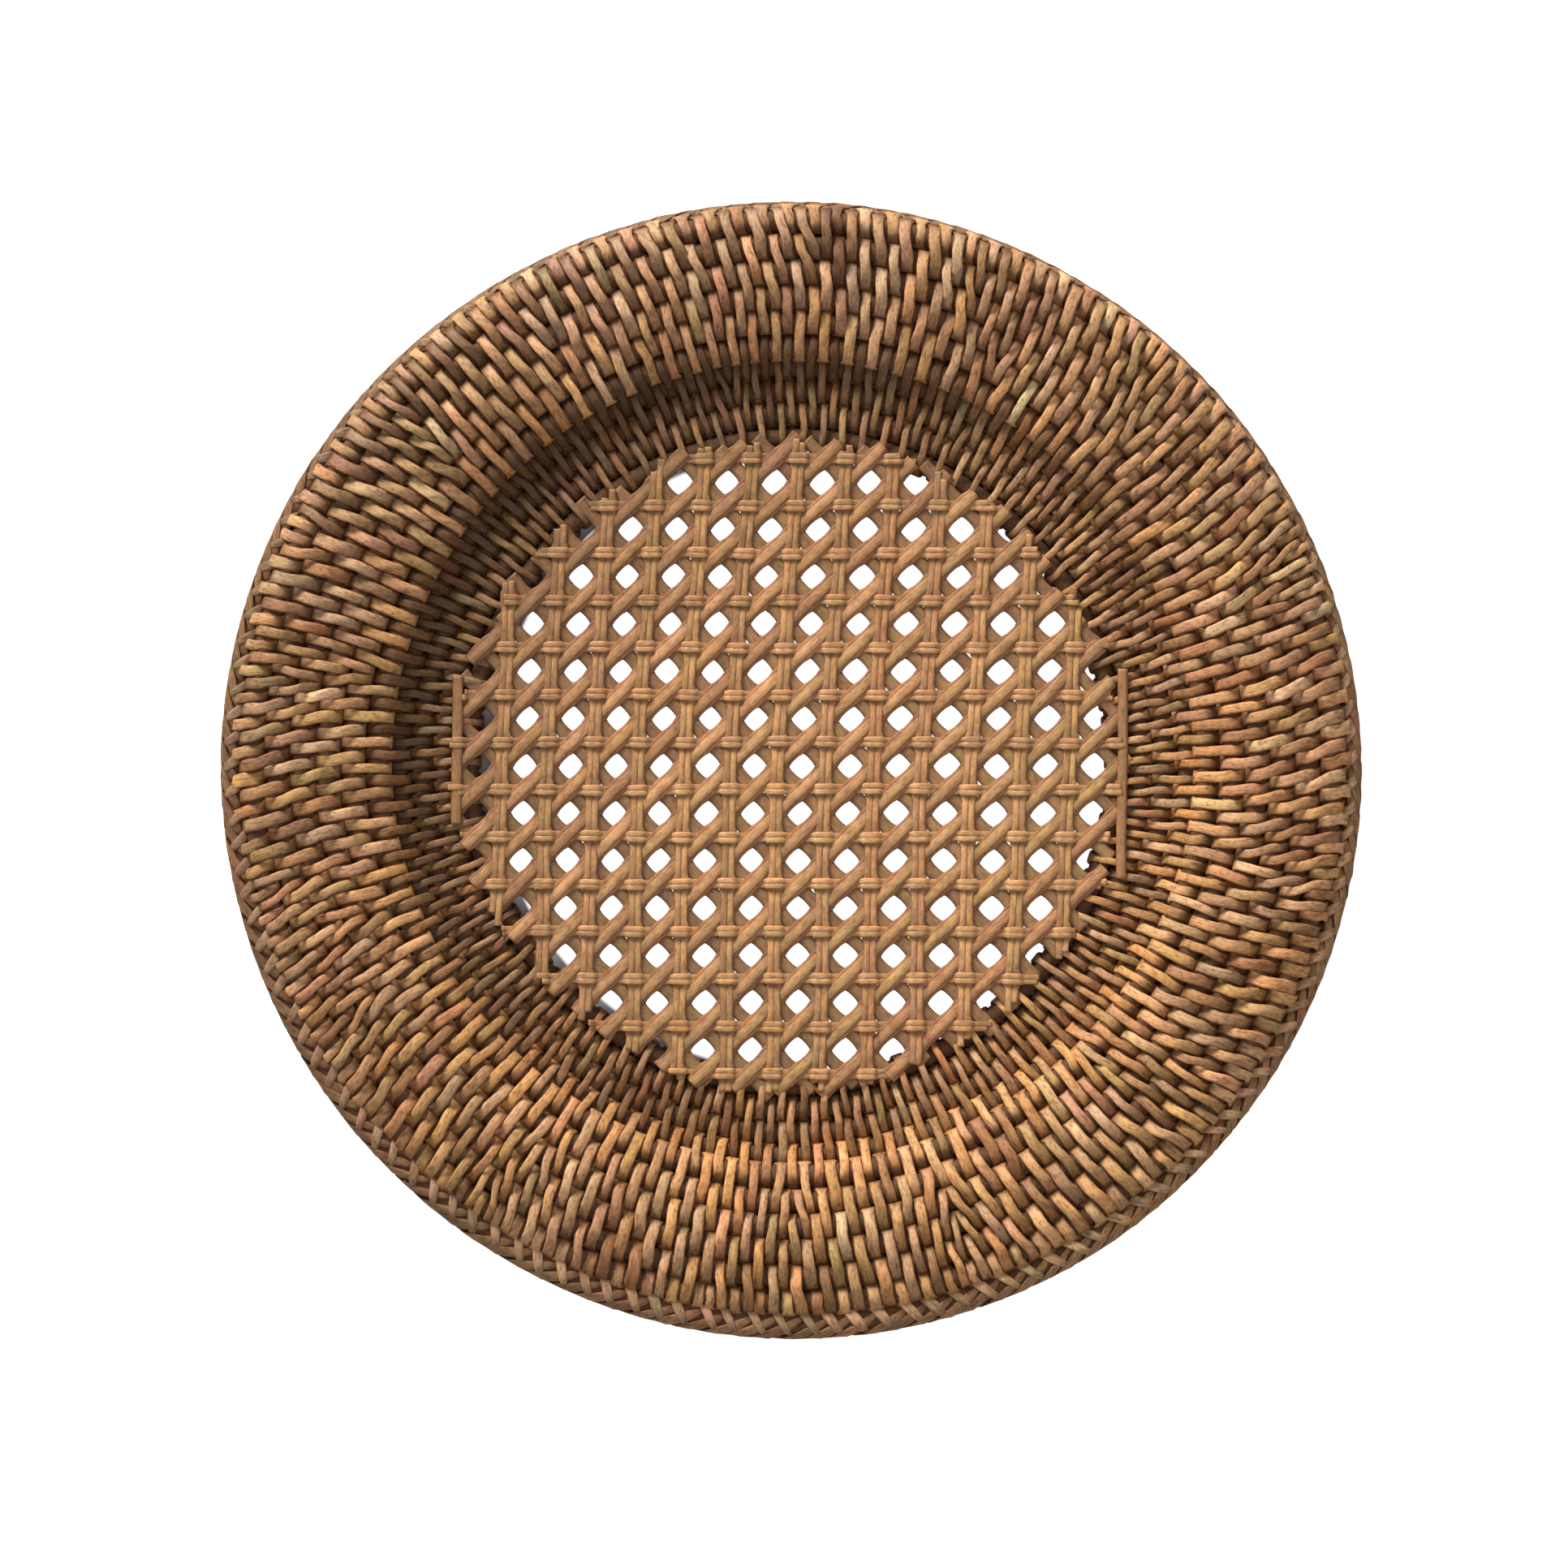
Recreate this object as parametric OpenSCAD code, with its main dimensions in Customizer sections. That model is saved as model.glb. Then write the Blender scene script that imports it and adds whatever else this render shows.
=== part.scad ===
/* [Hoops] */
// Diameter of the five hoops in the rim
rim_hoop_d = 6; // [5:0.1:7]
// Diameter of the hoop at the shoulder, where the rim turns down into the well
shoulder_hoop_d = 6.6; // [5.6:0.1:7.6]
// Diameter of the hoop in the wall of the well
wall_hoop_d = 6.6; // [5.6:0.1:7.6]
// Diameter of the hoops in the floor of the well
floor_hoop_d = 5.6; // [4.6:0.1:6.6]
// Diameter of the thin hoop at the outer edge
edge_hoop_d = 2.2; // [1.6:0.1:3]
// Radius of the circle along the middle of the panel hoop, which carries the cane
panel_hoop_r = 94.2; // [80:0.2:110]

/* [Section] */
// Slope from the outer floor hoop up to the wall hoop, in degrees
wall_foot_slope = 9.5; // [5:0.5:20]
// Slope from the wall hoop up to the shoulder hoop, in degrees
wall_slope = 50; // [35:1:70]
// Slope of the rim beside the shoulder, in degrees
rim_slope = 15; // [8:0.5:20]
// How much the rim's slope falls at each hoop outwards, in degrees
rim_slope_step = 4.1; // [2:0.1:5]

/* [Wraps] */
// Number of wraps in each row
wrap_count = 112; // [96:4:120]
// Thickness of a wrapping strip
strip_t = 0.5; // [0.4:0.05:0.7]
// Play between a strip and what it lies on
play = 0.1; // [0.1:0.02:0.2]
// Share of its room round the hoop that a wrap fills
wrap_fill_share = 0.82; // [0.6:0.01:0.86]
// How much further each row leans, from the rim's first row outwards, in degrees
lean_step = 3.5; // [0.5:0.25:4]
// Lean of the herringbone lashing on the edge, in degrees
lashing_lean = 30; // [10:1:35]

/* [Cane panel] */
// Distance between neighbouring pairs of strands
cane_pitch = 13.75; // [12.5:0.05:16]
// Thickness of a cane strand
cane_t = 0.4; // [0.3:0.05:0.5]
// Play between strands that cross or lie side by side
cane_play = 0.05; // [0.04:0.01:0.1]
// Width of one strand of a pair that runs from front to back
upright_w = 1.6; // [1.2:0.05:1.8]
// Width of one strand of a pair that runs from side to side
crossing_w = 1.35; // [1:0.05:1.5]
// Width of a diagonal strand
diagonal_w = 3.3; // [2.4:0.05:3.5]
// Lean of the pairs that run from front to back, in degrees
upright_lean = 2.5; // [0:0.5:4]
// How far the crossing nearest the middle lies to the right of it
cane_shift_x = -1.6; // [-5:0.1:5]
// How far the same crossing lies behind the middle
cane_shift_y = 5.6; // [-5:0.1:6]
// How far the strands reach past the middle of the panel hoop
cane_lap = 4.3; // [0.5:0.1:6]

/* [Hidden] */
$fn = 48;
hoop_fn = 180;
hoop_colour = "#6b4426";
wrap_colour = "#b07f4e";
edge_colour = "#a87f58";
cane_colour = "#c8975a";

// Hoops are numbered from the panel hoop outwards, and row j of wraps binds hoops j and j + 1
panel = 0;
wall = 3;
shoulder = 4;
rim_outer = 9;
edge = 10;
hoop_ds = [
    floor_hoop_d, floor_hoop_d, floor_hoop_d, wall_hoop_d, shoulder_hoop_d,
    for (i = [shoulder + 1:rim_outer]) rim_hoop_d, edge_hoop_d
];
// Slope from each hoop to the next one outwards
slopes = [
    0, 0, wall_foot_slope, wall_slope,
    for (i = [shoulder:rim_outer]) rim_slope - (i - shoulder) * rim_slope_step
];
// Two wraps pass between neighbouring hoops, and the lashing too beside the edge hoop
wrap_room = 2 * strip_t + 3 * play;
edge_room = wrap_room + strip_t + play;
// Height of the middles of the floor hoops, whose wraps rest on the ground
rest_z = floor_hoop_d / 2 + play + strip_t;

function spacing(i) = (hoop_ds[i] + hoop_ds[i + 1]) / 2 + (i == rim_outer ? edge_room : wrap_room);
function hoop_at(i) = i == panel
    ? [panel_hoop_r, rest_z]
    : hoop_at(i - 1) + spacing(i - 1) * [cos(slopes[i - 1]), sin(slopes[i - 1])];
// Radius and height of the middle of each hoop
hoops = [for (i = [panel:edge]) hoop_at(i)];

// Angle from one wrap to the next in its row
wrap_step = 360 / wrap_count;
// Lean of a row of wraps seen from above: none in the well, then more with each row outwards
function row_lean(j) = lean_step * max(0, j - shoulder);
// Angle by which the outer end of a wrap lies ahead of its inner end
function row_turn(j) = atan((hoops[j + 1][0] - hoops[j][0]) * tan(row_lean(j)) / hoops[j + 1][0]);
// Angle of the inner end of a row's first wrap, midway between the ends of the row inside it
function row_start(j) = j == panel ? -wrap_step / 2 : row_start(j - 1) + row_turn(j - 1) + wrap_step / 2;
// Width of a strip that leans so and fills its share of the room round hoop i
function strip_w(i, lean) = wrap_fill_share * PI * hoops[i][0] / wrap_count * cos(lean);

// Radius to which the strands are cut
cane_r = panel_hoop_r + cane_lap;
// Height of the underside of the lowest strand, and of each layer of strands above it
cane_z = 2 * rest_z + play;
cane_layer = cane_t + cane_play;
crossing_layer = 1;
rising_layer = 2;
upright_layer = 3;
cane_reach = ceil(cane_r / cane_pitch);
upright_angle = 90 - upright_lean;
rising_angle = atan2(1, 1 + tan(upright_lean));
falling_angle = atan2(1, -1 + tan(upright_lean));

// Distance from the middle of the panel to a line through a point at an angle
function off_middle(point, angle) = point[0] * sin(angle) - point[1] * cos(angle);
// A strand is kept if its outer side reaches at least half a pitch each way
function is_kept(off, w) = abs(off) + w / 2 < sqrt(pow(cane_r, 2) - pow(cane_pitch / 2, 2));

module hoop(i) {
    color(hoop_colour) rotate_extrude($fn = hoop_fn) translate(hoops[i]) circle(hoop_ds[i] / 2);
}

// Outline of a taut belt round two circles whose middles lie d apart
module belt(ra, rb, d) {
    tilt = asin((ra - rb) / d);
    circle(ra);
    translate([d, 0]) circle(rb);
    polygon([
        [ra * sin(tilt), ra * cos(tilt)], [d + rb * sin(tilt), rb * cos(tilt)],
        [d + rb * sin(tilt), -rb * cos(tilt)], [ra * sin(tilt), -ra * cos(tilt)]
    ]);
}

// Belt of strip round hoops j and j + 1, w wide, seen from where it meets hoop j
module strip_belt(j, w) {
    ra = hoop_ds[j] / 2 + play;
    rb = hoop_ds[j + 1] / 2 + play;
    run = hoops[j + 1] - hoops[j];
    translate([0, 0, hoops[j][1]]) rotate([90, 0, 0]) linear_extrude(w, center = true)
        rotate(atan2(run[1], run[0])) difference() {
            belt(ra + strip_t, rb + strip_t, norm(run));
            belt(ra, rb, norm(run));
        }
}

// One wrap: a belt cut slantwise, so that it leans and still lies flat on both hoops
module wrap(j) {
    w = strip_w(j, row_lean(j));
    d = spacing(j);
    if (row_lean(j) > 0) intersection() {
        strip_belt(j, 2 * (w + d));
        rotate(row_lean(j)) translate([d / 2, 0, hoops[j][1]]) cube([4 * d, w, 4 * d], center = true);
    }
    else strip_belt(j, w);
}

module wrap_row(j) {
    color(wrap_colour) for (i = [0:wrap_count - 1])
        rotate(row_start(j) + i * wrap_step) translate([hoops[j][0], 0, 0]) wrap(j);
}

// Half of a ring round the edge hoop, on its inner side (-1) or its outer side (1)
module lashing_half(side) {
    w = strip_w(edge, lashing_lean);
    r = edge_hoop_d / 2 + strip_t + 2 * play;
    reach = r + strip_t;
    intersection() {
        rotate([90, 0, 0]) linear_extrude(2 * (w + reach), center = true) difference() {
            circle(reach);
            circle(r);
        }
        rotate(-side * lashing_lean) cube([4 * reach, w, 4 * reach], center = true);
        translate([side * reach, 0, 0]) cube([2 * reach, 2 * (w + reach), 4 * reach], center = true);
    }
}

module edge_lashing() {
    color(edge_colour) for (i = [0:wrap_count - 1])
        rotate(row_start(edge) + i * wrap_step) translate([hoops[edge][0], 0, hoops[edge][1]]) {
            lashing_half(-1);
            lashing_half(1);
        }
}

// A strand w wide in a layer, through a point at an angle and off to its left, cut at the panel's edge
module strand(point, angle, off, w, layer) {
    if (is_kept(off_middle(point, angle) - off, w)) intersection() {
        translate([point[0], point[1], cane_z + layer * cane_layer]) rotate(angle)
            translate([-2 * cane_r, off - w / 2, 0]) cube([4 * cane_r, w, cane_t]);
        cylinder(h = cane_z + (upright_layer + 2) * cane_layer, r = cane_r, $fn = hoop_fn);
    }
}

// Pairs of strands from front to back
module cane_uprights() {
    color(cane_colour) for (k = [-cane_reach:cane_reach], side = [-1, 1])
        strand([cane_shift_x + k * cane_pitch, cane_shift_y], upright_angle,
            side * (upright_w + cane_play) / 2, upright_w, upright_layer);
}

// Pairs of strands from side to side
module cane_crossings() {
    color(cane_colour) for (k = [-cane_reach:cane_reach], side = [-1, 1])
        strand([cane_shift_x, cane_shift_y + k * cane_pitch], 0,
            side * (crossing_w + cane_play) / 2, crossing_w, crossing_layer);
}

// Single strands that pass midway between the crossings of the pairs
module diagonals(angle, layer) {
    color(cane_colour) for (k = [-2 * cane_reach:2 * cane_reach])
        strand([cane_shift_x + (k + 1 / 2) * cane_pitch, cane_shift_y], angle, 0, diagonal_w, layer);
}

module cane_rising_diagonals() { diagonals(rising_angle, rising_layer); }
module cane_falling_diagonals() { diagonals(falling_angle, 0); }

module edge_hoop() { hoop(edge); }
module rim_hoop_1() { hoop(rim_outer); }
module rim_hoop_2() { hoop(rim_outer - 1); }
module rim_hoop_3() { hoop(rim_outer - 2); }
module rim_hoop_4() { hoop(rim_outer - 3); }
module rim_hoop_5() { hoop(rim_outer - 4); }
module shoulder_hoop() { hoop(shoulder); }
module wall_hoop() { hoop(wall); }
module floor_hoop_1() { hoop(panel + 2); }
module floor_hoop_2() { hoop(panel + 1); }
module panel_hoop() { hoop(panel); }

module edge_wraps() { wrap_row(rim_outer); }
module rim_wraps_1() { wrap_row(rim_outer - 1); }
module rim_wraps_2() { wrap_row(rim_outer - 2); }
module rim_wraps_3() { wrap_row(rim_outer - 3); }
module rim_wraps_4() { wrap_row(rim_outer - 4); }
module shoulder_wraps() { wrap_row(shoulder); }
module wall_wraps() { wrap_row(wall); }
module well_wraps() { wrap_row(panel + 2); }
module floor_wraps() { wrap_row(panel + 1); }
module panel_wraps() { wrap_row(panel); }

edge_hoop();
rim_hoop_1();
rim_hoop_2();
rim_hoop_3();
rim_hoop_4();
rim_hoop_5();
shoulder_hoop();
wall_hoop();
floor_hoop_1();
floor_hoop_2();
panel_hoop();
edge_wraps();
rim_wraps_1();
rim_wraps_2();
rim_wraps_3();
rim_wraps_4();
shoulder_wraps();
wall_wraps();
well_wraps();
floor_wraps();
panel_wraps();
edge_lashing();
cane_uprights();
cane_crossings();
cane_rising_diagonals();
cane_falling_diagonals();
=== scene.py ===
import bpy
import numpy as np
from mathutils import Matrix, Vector


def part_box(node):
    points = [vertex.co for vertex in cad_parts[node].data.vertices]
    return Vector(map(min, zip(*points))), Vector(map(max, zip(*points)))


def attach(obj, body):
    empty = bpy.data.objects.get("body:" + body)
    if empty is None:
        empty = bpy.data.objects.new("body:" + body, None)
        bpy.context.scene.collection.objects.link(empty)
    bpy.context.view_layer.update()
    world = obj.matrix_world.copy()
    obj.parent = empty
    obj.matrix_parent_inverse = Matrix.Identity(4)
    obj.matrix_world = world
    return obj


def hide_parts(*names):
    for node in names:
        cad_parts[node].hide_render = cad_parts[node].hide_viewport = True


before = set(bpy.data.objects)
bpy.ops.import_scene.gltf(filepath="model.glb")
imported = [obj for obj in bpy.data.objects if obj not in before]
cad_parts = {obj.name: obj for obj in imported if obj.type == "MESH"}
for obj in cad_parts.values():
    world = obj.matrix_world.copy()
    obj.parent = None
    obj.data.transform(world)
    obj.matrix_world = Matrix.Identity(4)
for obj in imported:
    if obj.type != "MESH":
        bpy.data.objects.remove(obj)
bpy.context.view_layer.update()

mm = 0.001
circle = 2 * np.pi
vertical = np.array([0, 0, 1.0])
draw = np.random.default_rng(37)  # seeded, so each run draws the same

# Both lists go from the panel outwards, and row n of the wraps binds hoop n to hoop n + 1
hoopNodes = ["panel_hoop", "floor_hoop_2", "floor_hoop_1", "wall_hoop", "shoulder_hoop",
             "rim_hoop_5", "rim_hoop_4", "rim_hoop_3", "rim_hoop_2", "rim_hoop_1", "edge_hoop"]
rowNodes = ["panel_wraps", "floor_wraps", "well_wraps", "wall_wraps", "shoulder_wraps",
            "rim_wraps_4", "rim_wraps_3", "rim_wraps_2", "rim_wraps_1", "edge_wraps"]
lastRow = len(rowNodes) - 1


# Hoops
def measureHoop(name):
    # radius and height of the middle of the round bar, and its thickness, off its box in the frame
    low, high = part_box(name)
    thickness = high.z - low.z
    return high.x - thickness / 2, (low.z + high.z) / 2, thickness


hoopR, hoopZ, hoopD = (np.array(column) for column in zip(*[measureHoop(n) for n in hoopNodes]))
print("hoops read from the frame")


# Materials
def addNode(tree, kind, links=(), **settings):
    # a setting is one of the node's own, or else the value of its socket with that name
    node = tree.nodes.new("ShaderNode" + kind)
    for name, value in settings.items():
        if hasattr(node, name):
            setattr(node, name, value)
        else:
            node.inputs[name.replace("_", " ")].default_value = value
    for target, source in links:
        tree.links.new(source, node.inputs[target])
    return node


def addNoise(tree, place, scale, detail, roughness=0.5):
    # noise with that many features per unit of the place, along each of its three axes
    stretched = addNode(tree, "Mapping", [("Vector", place)], Scale=scale).outputs["Vector"]
    return addNode(tree, "TexNoise", [("Vector", stretched)], Scale=1.0, Detail=detail,
                   Roughness=roughness).outputs["Fac"]


def addRamp(tree, source, stops, colours):
    # from colour to colour as the source goes from stop to stop; a single number is a grey
    ramp = addNode(tree, "ValToRGB", [("Fac", source)])
    while len(ramp.color_ramp.elements) < len(stops):
        ramp.color_ramp.elements.new(0.5)
    for element, stop, colour in zip(ramp.color_ramp.elements, stops, colours):
        element.position = stop
        element.color = (*([colour] * 3 if np.isscalar(colour) else colour), 1)
    return ramp.outputs["Color"]


def mixColour(tree, blend, share, first, second):
    # the share (socket 0) and the colours (6 and 7) are values or other nodes' outputs
    mix = addNode(tree, "Mix", data_type="RGBA", blend_type=blend)
    for socket, value in ((0, share), (6, first), (7, second)):
        if isinstance(value, bpy.types.NodeSocket):
            tree.links.new(value, mix.inputs[socket])
        else:
            mix.inputs[socket].default_value = value if socket == 0 else (*value, 1)
    return mix.outputs[2]


def newMaterial(name):
    # the material, its node tree and its shader
    material = bpy.data.materials.new(name)
    material.use_nodes = True
    tree = material.node_tree
    return material, tree, tree.nodes["Principled BSDF"]


def addBump(tree, shader, height, strength, depth):
    # small relief from the height, for what is finer than the mesh
    bump = addNode(tree, "Bump", [("Height", height)], Strength=strength, Distance=depth)
    tree.links.new(bump.outputs["Normal"], shader.inputs["Normal"])


peelLook = {
    "grainScale": (0.35, 5.0, 1),     # fibres: features per millimetre along and across the strip
    "grainDetail": 4.0, "grainRoughness": 0.65,
    "grainStops": (0.33, 0.55, 0.72),
    "streaks": (0.62, 1.0, 1.18),     # what the fibres multiply the strip's tint by
    "patchScale": (0.22, 0.5, 1.7), "patchDetail": 2.0,  # long pale and dark patches
    "patchStops": (0.3, 0.5, 0.7),
    "patches": ((0.74, 0.68, 0.62), (1, 1, 1), (1.16, 1.13, 1.03)),
    "spotScale": (0.6, 1.3, 3.1), "spotDetail": 3.0, "spotRoughness": 0.6,  # short spots
    "spotStops": (0.31, 0.46, 0.66),
    "spots": ((0.52, 0.47, 0.42), (1, 1, 1), (1.22, 1.2, 1.14)),
    "ownShift": 7.31,                 # how far each strip's grain is from its neighbour's
    # painted shade, with some dark stain, for the hollows and undersides, and painted shade, with some dirt,
    # along a strip's edges
    "shadeAndStainColour": (0.085, 0.033, 0.013),
    "edgeColour": (0.32, 0.13, 0.05),
    "roughness": 0.46, "smoother": 0.1, "rougher": 0.14,  # by so much in the patches
    "specular": 0.18,
    "bump": 0.35, "bumpDepth": 0.15 * mm,
}
edgeLook = {**peelLook, "roughness": 0.5}
caneLook = {
    **peelLook,
    "grainScale": (0.22, 2.6, 1),
    "streaks": (0.86, 1.0, 1.08),
    "spots": ((0.74, 0.64, 0.52), (1, 1, 1), (1.22, 1.2, 1.14)),
    # painted shade along a cane strand's edges
    "edgeColour": (0.36, 0.15, 0.06),
    "roughness": 0.42,
    "specular": 0.3,
}
coreLook = {
    # the hoops' dark brown is painted shade: it stands in for the shade in the gaps where a hoop shows
    # between its wraps
    "hoopShadeColour": (0.15, 0.067, 0.028), "edgeColour": (0.19, 0.09, 0.04),
    "poreScale": 900.0, "poreDetail": 3.0,       # pores per metre
    "poreStops": (0.3, 0.7), "poreShade": 0.5,   # share of the colour that is left in a pore
    "roughness": 0.7,
    "specular": 0.2,
    "bump": 0.3, "bumpDepth": 0.1 * mm,
}


def makePeel(name, look):
    # split rattan: the strip's tint times its fibres, patches and spots, darker along its two edges
    # with painted shade where strips meet, and mixed with a dark colour where the mesh says how much:
    # painted shade in the hollows and under the neighbours, with some dark stain
    material, tree, shader = newMaterial(name)
    strip = addNode(tree, "Attribute", attribute_name="strip").outputs["Vector"]
    tint = addNode(tree, "Attribute", attribute_name="tint").outputs["Color"]
    shadeAndStain = addNode(tree, "Attribute", attribute_name="shadeAndStain").outputs["Fac"]
    edgeShade = addNode(tree, "Attribute", attribute_name="edgeShadeShare").outputs["Fac"]
    grain = addNoise(tree, strip, look["grainScale"], look["grainDetail"], look["grainRoughness"])
    patch = addNoise(tree, strip, look["patchScale"], look["patchDetail"])
    spot = addNoise(tree, strip, look["spotScale"], look["spotDetail"], look["spotRoughness"])
    colour = tint
    for layer in (addRamp(tree, grain, look["grainStops"], look["streaks"]),
                  addRamp(tree, patch, look["patchStops"], look["patches"]),
                  addRamp(tree, spot, look["spotStops"], look["spots"])):
        colour = mixColour(tree, "MULTIPLY", 1.0, colour, layer)
    colour = mixColour(tree, "MULTIPLY", edgeShade, colour, look["edgeColour"])
    colour = mixColour(tree, "MIX", shadeAndStain, colour, look["shadeAndStainColour"])
    tree.links.new(colour, shader.inputs["Base Color"])
    gloss = addNode(tree, "MapRange", [("Value", patch)], To_Min=look["roughness"] - look["smoother"],
                    To_Max=look["roughness"] + look["rougher"])
    tree.links.new(gloss.outputs["Result"], shader.inputs["Roughness"])
    shader.inputs["Specular IOR Level"].default_value = look["specular"]
    addBump(tree, shader, grain, look["bump"], look["bumpDepth"])
    return material


def makeCore(name, colour):
    # bare rattan core: one colour, darker in its pores
    material, tree, shader = newMaterial(name)
    place = addNode(tree, "TexCoord").outputs["Object"]
    pores = addNode(tree, "TexNoise", [("Vector", place)], Scale=coreLook["poreScale"],
                    Detail=coreLook["poreDetail"]).outputs["Fac"]
    darker = tuple(c * coreLook["poreShade"] for c in colour)
    shade = addRamp(tree, pores, coreLook["poreStops"], (darker, colour))
    tree.links.new(shade, shader.inputs["Base Color"])
    shader.inputs["Roughness"].default_value = coreLook["roughness"]
    shader.inputs["Specular IOR Level"].default_value = coreLook["specular"]
    addBump(tree, shader, pores, coreLook["bump"], coreLook["bumpDepth"])
    return material


wrapPeel = makePeel("wrapPeel", peelLook)
edgePeel = makePeel("edgePeel", edgeLook)
canePeel = makePeel("canePeel", caneLook)
hoopCore = makeCore("hoopCore", coreLook["hoopShadeColour"])
edgeCore = makeCore("edgeCore", coreLook["edgeColour"])
for nodeName in hoopNodes:
    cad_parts[nodeName].data.materials.clear()
    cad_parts[nodeName].data.materials.append(hoopCore)
print("materials made")


# Ribbons: each point of a section is (across, height), in widths and thicknesses of the strip
wrapSection = np.array([(-0.5, 0.1), (-0.44, 0.68), (-0.3, 1), (0.3, 1), (0.44, 0.68), (0.5, 0.1)])
caneSection = np.array([(-0.5, 0.1), (-0.44, 0.72), (-0.2, 1), (0.2, 1), (0.44, 0.72), (0.5, 0.1)])
ridgeSection = np.array([(-0.5, -0.2), (-0.46, 0.2), (-0.335, 0.3), (-0.275, 0.8), (-0.1, 1.15),
                         (0.1, 1.15), (0.275, 0.8), (0.335, 0.3), (0.46, 0.2), (0.5, -0.2)])
ridgeCrisp = (2, 3, 6, 7)  # its points whose lines along the strand stay sharp


def gridQuads(rows, ring, closed):
    # each face joins a point, the next one round the ring, and the same two of the next row
    starts = np.arange(rows if closed else rows - 1)
    i, k = (a.ravel() for a in np.meshgrid(starts, np.arange(ring), indexing="ij"))
    nextI, nextK = (i + 1) % rows, (k + 1) % ring
    return np.stack([i * ring + k, i * ring + nextK, nextI * ring + nextK, nextI * ring + k], 1)


def sweepRibbons(line, side, up, width, thickness, section, closed):
    # line, side and up are (strips, points, 3); each section point lies across * width along side
    # and height * thickness along up from the line; an open ribbon's ends are closed by flat caps
    across, height = section[:, 0], section[:, 1]
    width = width if width.ndim == 3 else width[:, :, None]
    points = (line[:, :, None] + side[:, :, None] * (width * across)[..., None]
              + up[:, :, None] * (thickness[:, :, None] * height)[..., None])
    strips, steps, ring = points.shape[:3]
    quads = gridQuads(steps, ring, closed)
    if not closed:
        cap = np.array([(c, ring - 1 - c, ring - 2 - c, c + 1) for c in range(ring // 2 - 1)])
        quads = np.concatenate([quads, cap, (steps - 1) * ring + cap[:, ::-1]])
    faces = (quads[None] + (np.arange(strips) * steps * ring)[:, None, None]).reshape(-1, 4)
    return points, faces


def setField(mesh, name, values, shape):
    # values spread to one number, a vector (strip) or a colour (tint) for each point
    if name == "tint":
        kind, entry, size = "FLOAT_COLOR", "color", (4,)
        values = np.concatenate([np.broadcast_to(values, (*shape, 3)), np.ones((*shape, 1))], -1)
    elif name == "strip":
        kind, entry, size = "FLOAT_VECTOR", "vector", (3,)
    else:
        kind, entry, size = "FLOAT", "value", ()
    spread = np.broadcast_to(values, (*shape, *size)).astype(np.float32)
    mesh.attributes.new(name, kind, "POINT").data.foreach_set(entry, spread.ravel())


def addPiece(name, points, faces, material, replaced, fields, crisp=()):
    # points are (strips, points, ring, 3), and fields spread to them; crisp names the places on the
    # ring whose lines along the strip stay sharp
    mesh = bpy.data.meshes.new(name)
    mesh.vertices.add(points.size // 3)
    mesh.vertices.foreach_set("co", points.astype(np.float32).ravel())
    mesh.loops.add(faces.size)
    mesh.loops.foreach_set("vertex_index", faces.astype(np.int32).ravel())
    mesh.polygons.add(len(faces))
    mesh.polygons.foreach_set("loop_start", np.arange(0, faces.size, 4, dtype=np.int32))
    mesh.polygons.foreach_set("use_smooth", np.ones(len(faces), bool))
    mesh.update(calc_edges=True)
    if crisp:
        pairs = np.empty(len(mesh.edges) * 2, np.int32)
        mesh.edges.foreach_get("vertices", pairs)
        first, second = (pairs.reshape(-1, 2) % points.shape[2]).T
        sharp = (first == second) & np.isin(first, crisp)
        mesh.attributes.new("sharp_edge", "BOOLEAN", "EDGE").data.foreach_set("value", sharp)
    for field, values in fields.items():
        setField(mesh, field, values, points.shape[:3])
    mesh.materials.append(material)
    piece = bpy.data.objects.new(name, mesh)
    bpy.context.scene.collection.objects.link(piece)
    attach(piece, "root")
    if replaced:
        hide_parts(*replaced)


def stripField(line, section, width):
    # millimetres along and across the strip, and a number of its own that shifts its grain
    count, steps = line.shape[:2]
    along = np.zeros((count, steps))
    along[:, 1:] = np.cumsum(np.linalg.norm(np.diff(line, axis=1), axis=2), axis=1)
    field = np.zeros((count, steps, len(section), 3))
    field[..., 0] = along[:, :, None] / mm
    field[..., 1] = section[:, 0] * width[:, :, None] / mm
    field[..., 2] = (np.arange(count) * peelLook["ownShift"])[:, None, None]
    return field


# Places and numbers round the circle
def clockwiseOf(angle):
    # degrees clockwise from the back, for radians anticlockwise from the right
    return (90 - np.degrees(angle)) % 360


def roundCircle(values, angle):
    # straight between values that stand evenly spaced, clockwise from the back
    return np.interp(clockwiseOf(angle), np.linspace(0, 360, len(values) + 1), np.append(values, values[0]))


def swingRound(angle, swing, toward):
    # 1 plus the swing times the cosine of the angle between a place and the side that it is highest on
    return 1 + swing * np.cos(np.radians(90 - toward) - angle)


def polarPlace(angle, outward, upward):
    # so far outward along the ground at this angle, and so far up
    radial = np.stack([np.cos(angle), np.sin(angle), np.zeros_like(angle)], -1)
    return radial * outward[..., None] + vertical * upward[..., None]


def smoothStep(share):
    # 3 x squared less 2 x cubed, which starts and ends level
    return share * share * (3 - 2 * share)


def drawNear(count, scatter, least, most):
    # a factor for each strip, drawn round 1
    return draw.normal(1, scatter, (count, 1)).clip(least, most)


def scatterTint(tint, count, shadeScatter, hueScatter):
    # the tint times a shade drawn for each strip, and times a factor for each of its three colours
    return tint * draw.normal(1, shadeScatter, (count, 1)) * draw.normal(1, hueScatter, (count, 3))


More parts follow.
